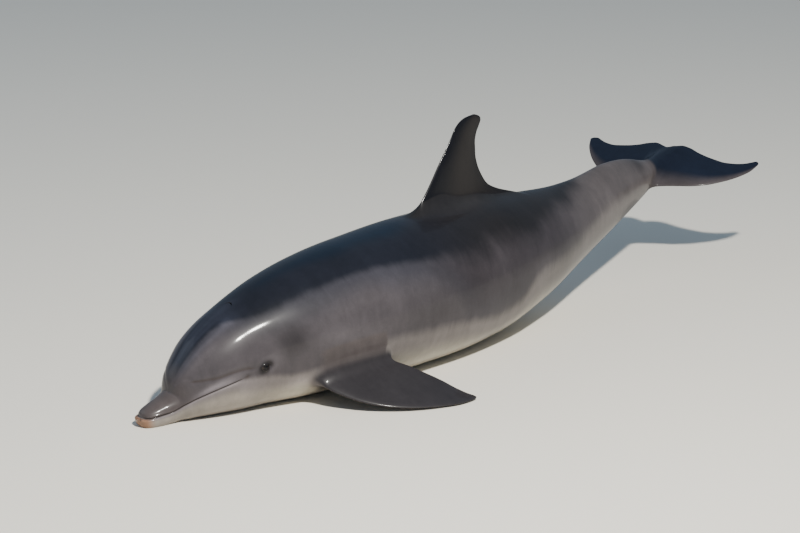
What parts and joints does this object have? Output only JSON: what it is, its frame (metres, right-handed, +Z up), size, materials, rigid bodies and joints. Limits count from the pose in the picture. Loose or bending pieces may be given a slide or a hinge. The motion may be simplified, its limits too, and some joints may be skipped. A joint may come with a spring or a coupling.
{
  "type": "bottlenose dolphin",
  "caption": "Life-size bottlenose dolphin resting on its belly, head low, tail and flukes lifted, flippers spread on the ground.",
  "frame": {"origin": "on the ground under the deepest part of the chest, 0.9 m behind the snout measured along the spine, on the flat the belly rests on", "axes": "+Z up; the head points toward -X and the tail toward +X; the animal's left side faces -Y"},
  "size_m": [2.557, 0.911, 0.677],
  "materials": {
    "skin": "wet, glossy skin, dark back and pale belly",
    "eye": "wet, dark eye"
  },
  "bodies": {
    "root": {"upper_jaw": "skin", "lower_jaw": "skin", "head": "skin", "chest": "skin", "trunk": "skin", "tail_stock_front": "skin", "tail_stock_rear": "skin", "dorsal_fin": "skin", "flipper_left": "skin", "flipper_right": "skin", "fluke_left": "skin", "fluke_right": "skin", "eye_left": "eye", "eye_right": "eye"}
  },
  "joints": []
}
